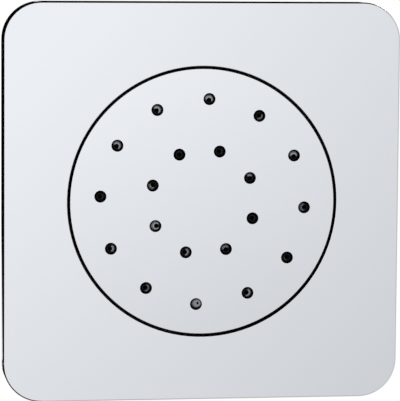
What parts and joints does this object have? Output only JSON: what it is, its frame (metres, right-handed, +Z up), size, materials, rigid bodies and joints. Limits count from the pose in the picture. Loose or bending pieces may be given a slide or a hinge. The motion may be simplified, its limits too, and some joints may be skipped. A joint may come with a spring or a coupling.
{
  "type": "shower body jet",
  "caption": "Square chrome shower body jet: a flush round spray disc with silicone nozzles turns and tilts on a ball joint over a wall box with a threaded water inlet.",
  "frame": {"origin": "on the water inlet's axis, at the finished wall surface, in the middle of the wall screws", "axes": "+X to the right seen from the front, +Y into the wall, +Z up; the spray face looks along -Y"},
  "size_m": [0.12, 0.057, 0.12],
  "materials": {
    "chrome": "mirror polished chrome plating",
    "foam": "closed-cell foam",
    "rubber_seal": "smooth seal rubber",
    "box_plastic": "fine moulded grain",
    "brass": "turned brass",
    "stainless": "rolled stainless steel",
    "acetal": "natural acetal",
    "silicone": "soft dark silicone",
    "chamber_plastic": "glass-filled plastic"
  },
  "bodies": {
    "wall_unit": {"escutcheon": "chrome", "rim_gasket": "foam", "collar_seal": "rubber_seal", "wall_box": "box_plastic", "inlet_body": "brass", "box_seal": "rubber_seal", "lock_nut": "brass", "stem_clip": "stainless", "flow_regulator": "acetal", "inlet_strainer": "stainless"},
    "swivel_stem": {"ball_stem": "chrome", "stem_seals": "rubber_seal"},
    "spray_head": {"spray_disc": "chrome", "nozzle_mat": "silicone", "spray_chamber": "chamber_plastic", "chamber_seal": "rubber_seal", "snap_ring": "stainless", "ball_seal": "rubber_seal", "ball_seat": "acetal", "ball_collar": "brass"}
  },
  "joints": [
    {"name": "disc_turn", "type": "hinge", "parent": "wall_unit", "child": "swivel_stem", "pos_m": [0, 0.0021, 0], "axis": [0, -1, 0], "continuous": true},
    {"name": "disc_tilt", "type": "hinge", "parent": "swivel_stem", "child": "spray_head", "pos_m": [0, 0.0021, 0], "axis": [1, 0, 0], "range_deg": [-7, 7]}
  ]
}
